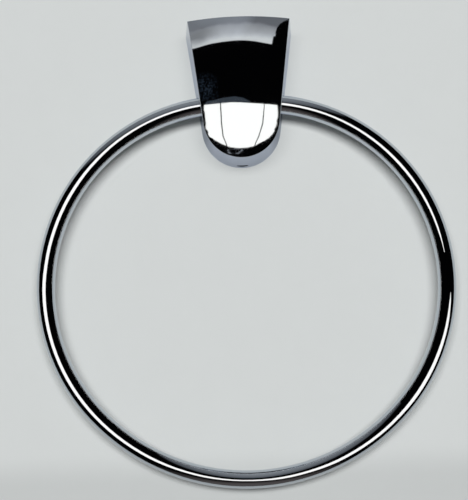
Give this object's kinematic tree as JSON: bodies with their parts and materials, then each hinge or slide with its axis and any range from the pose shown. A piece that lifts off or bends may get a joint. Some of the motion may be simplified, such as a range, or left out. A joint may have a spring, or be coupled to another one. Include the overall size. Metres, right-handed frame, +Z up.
{
  "type": "towel ring",
  "caption": "Wall-mounted towel ring: a round-ended, tapered post with a crowned front on a screwed wall bracket, and an open hoop of round rod that swings in holes in the post's sides.",
  "frame": {"origin": "on the wall, midway between the two wall screws", "axes": "+X to the right, +Y into the wall, +Z up, so the front faces -Y"},
  "size_m": [0.1826, 0.048, 0.203],
  "materials": {
    "post_chrome": "bright chrome plate on a zinc casting",
    "ring_chrome": "bright chrome plate on drawn rod",
    "clip_steel": "dark spring steel",
    "bracket_steel": "zinc plated sheet steel",
    "screw_steel": "stainless steel"
  },
  "bodies": {
    "post": {"post_body": "post_chrome", "wall_bracket": "bracket_steel", "set_screw": "screw_steel"},
    "ring": {"ring": "ring_chrome", "retaining_clips": "clip_steel"}
  },
  "joints": [
    {"name": "ring_swing", "type": "hinge", "parent": "post", "child": "ring", "pos_m": [0, -0.022, -0.0058], "axis": [-1, 0, 0], "range_deg": [-6, 186]}
  ]
}
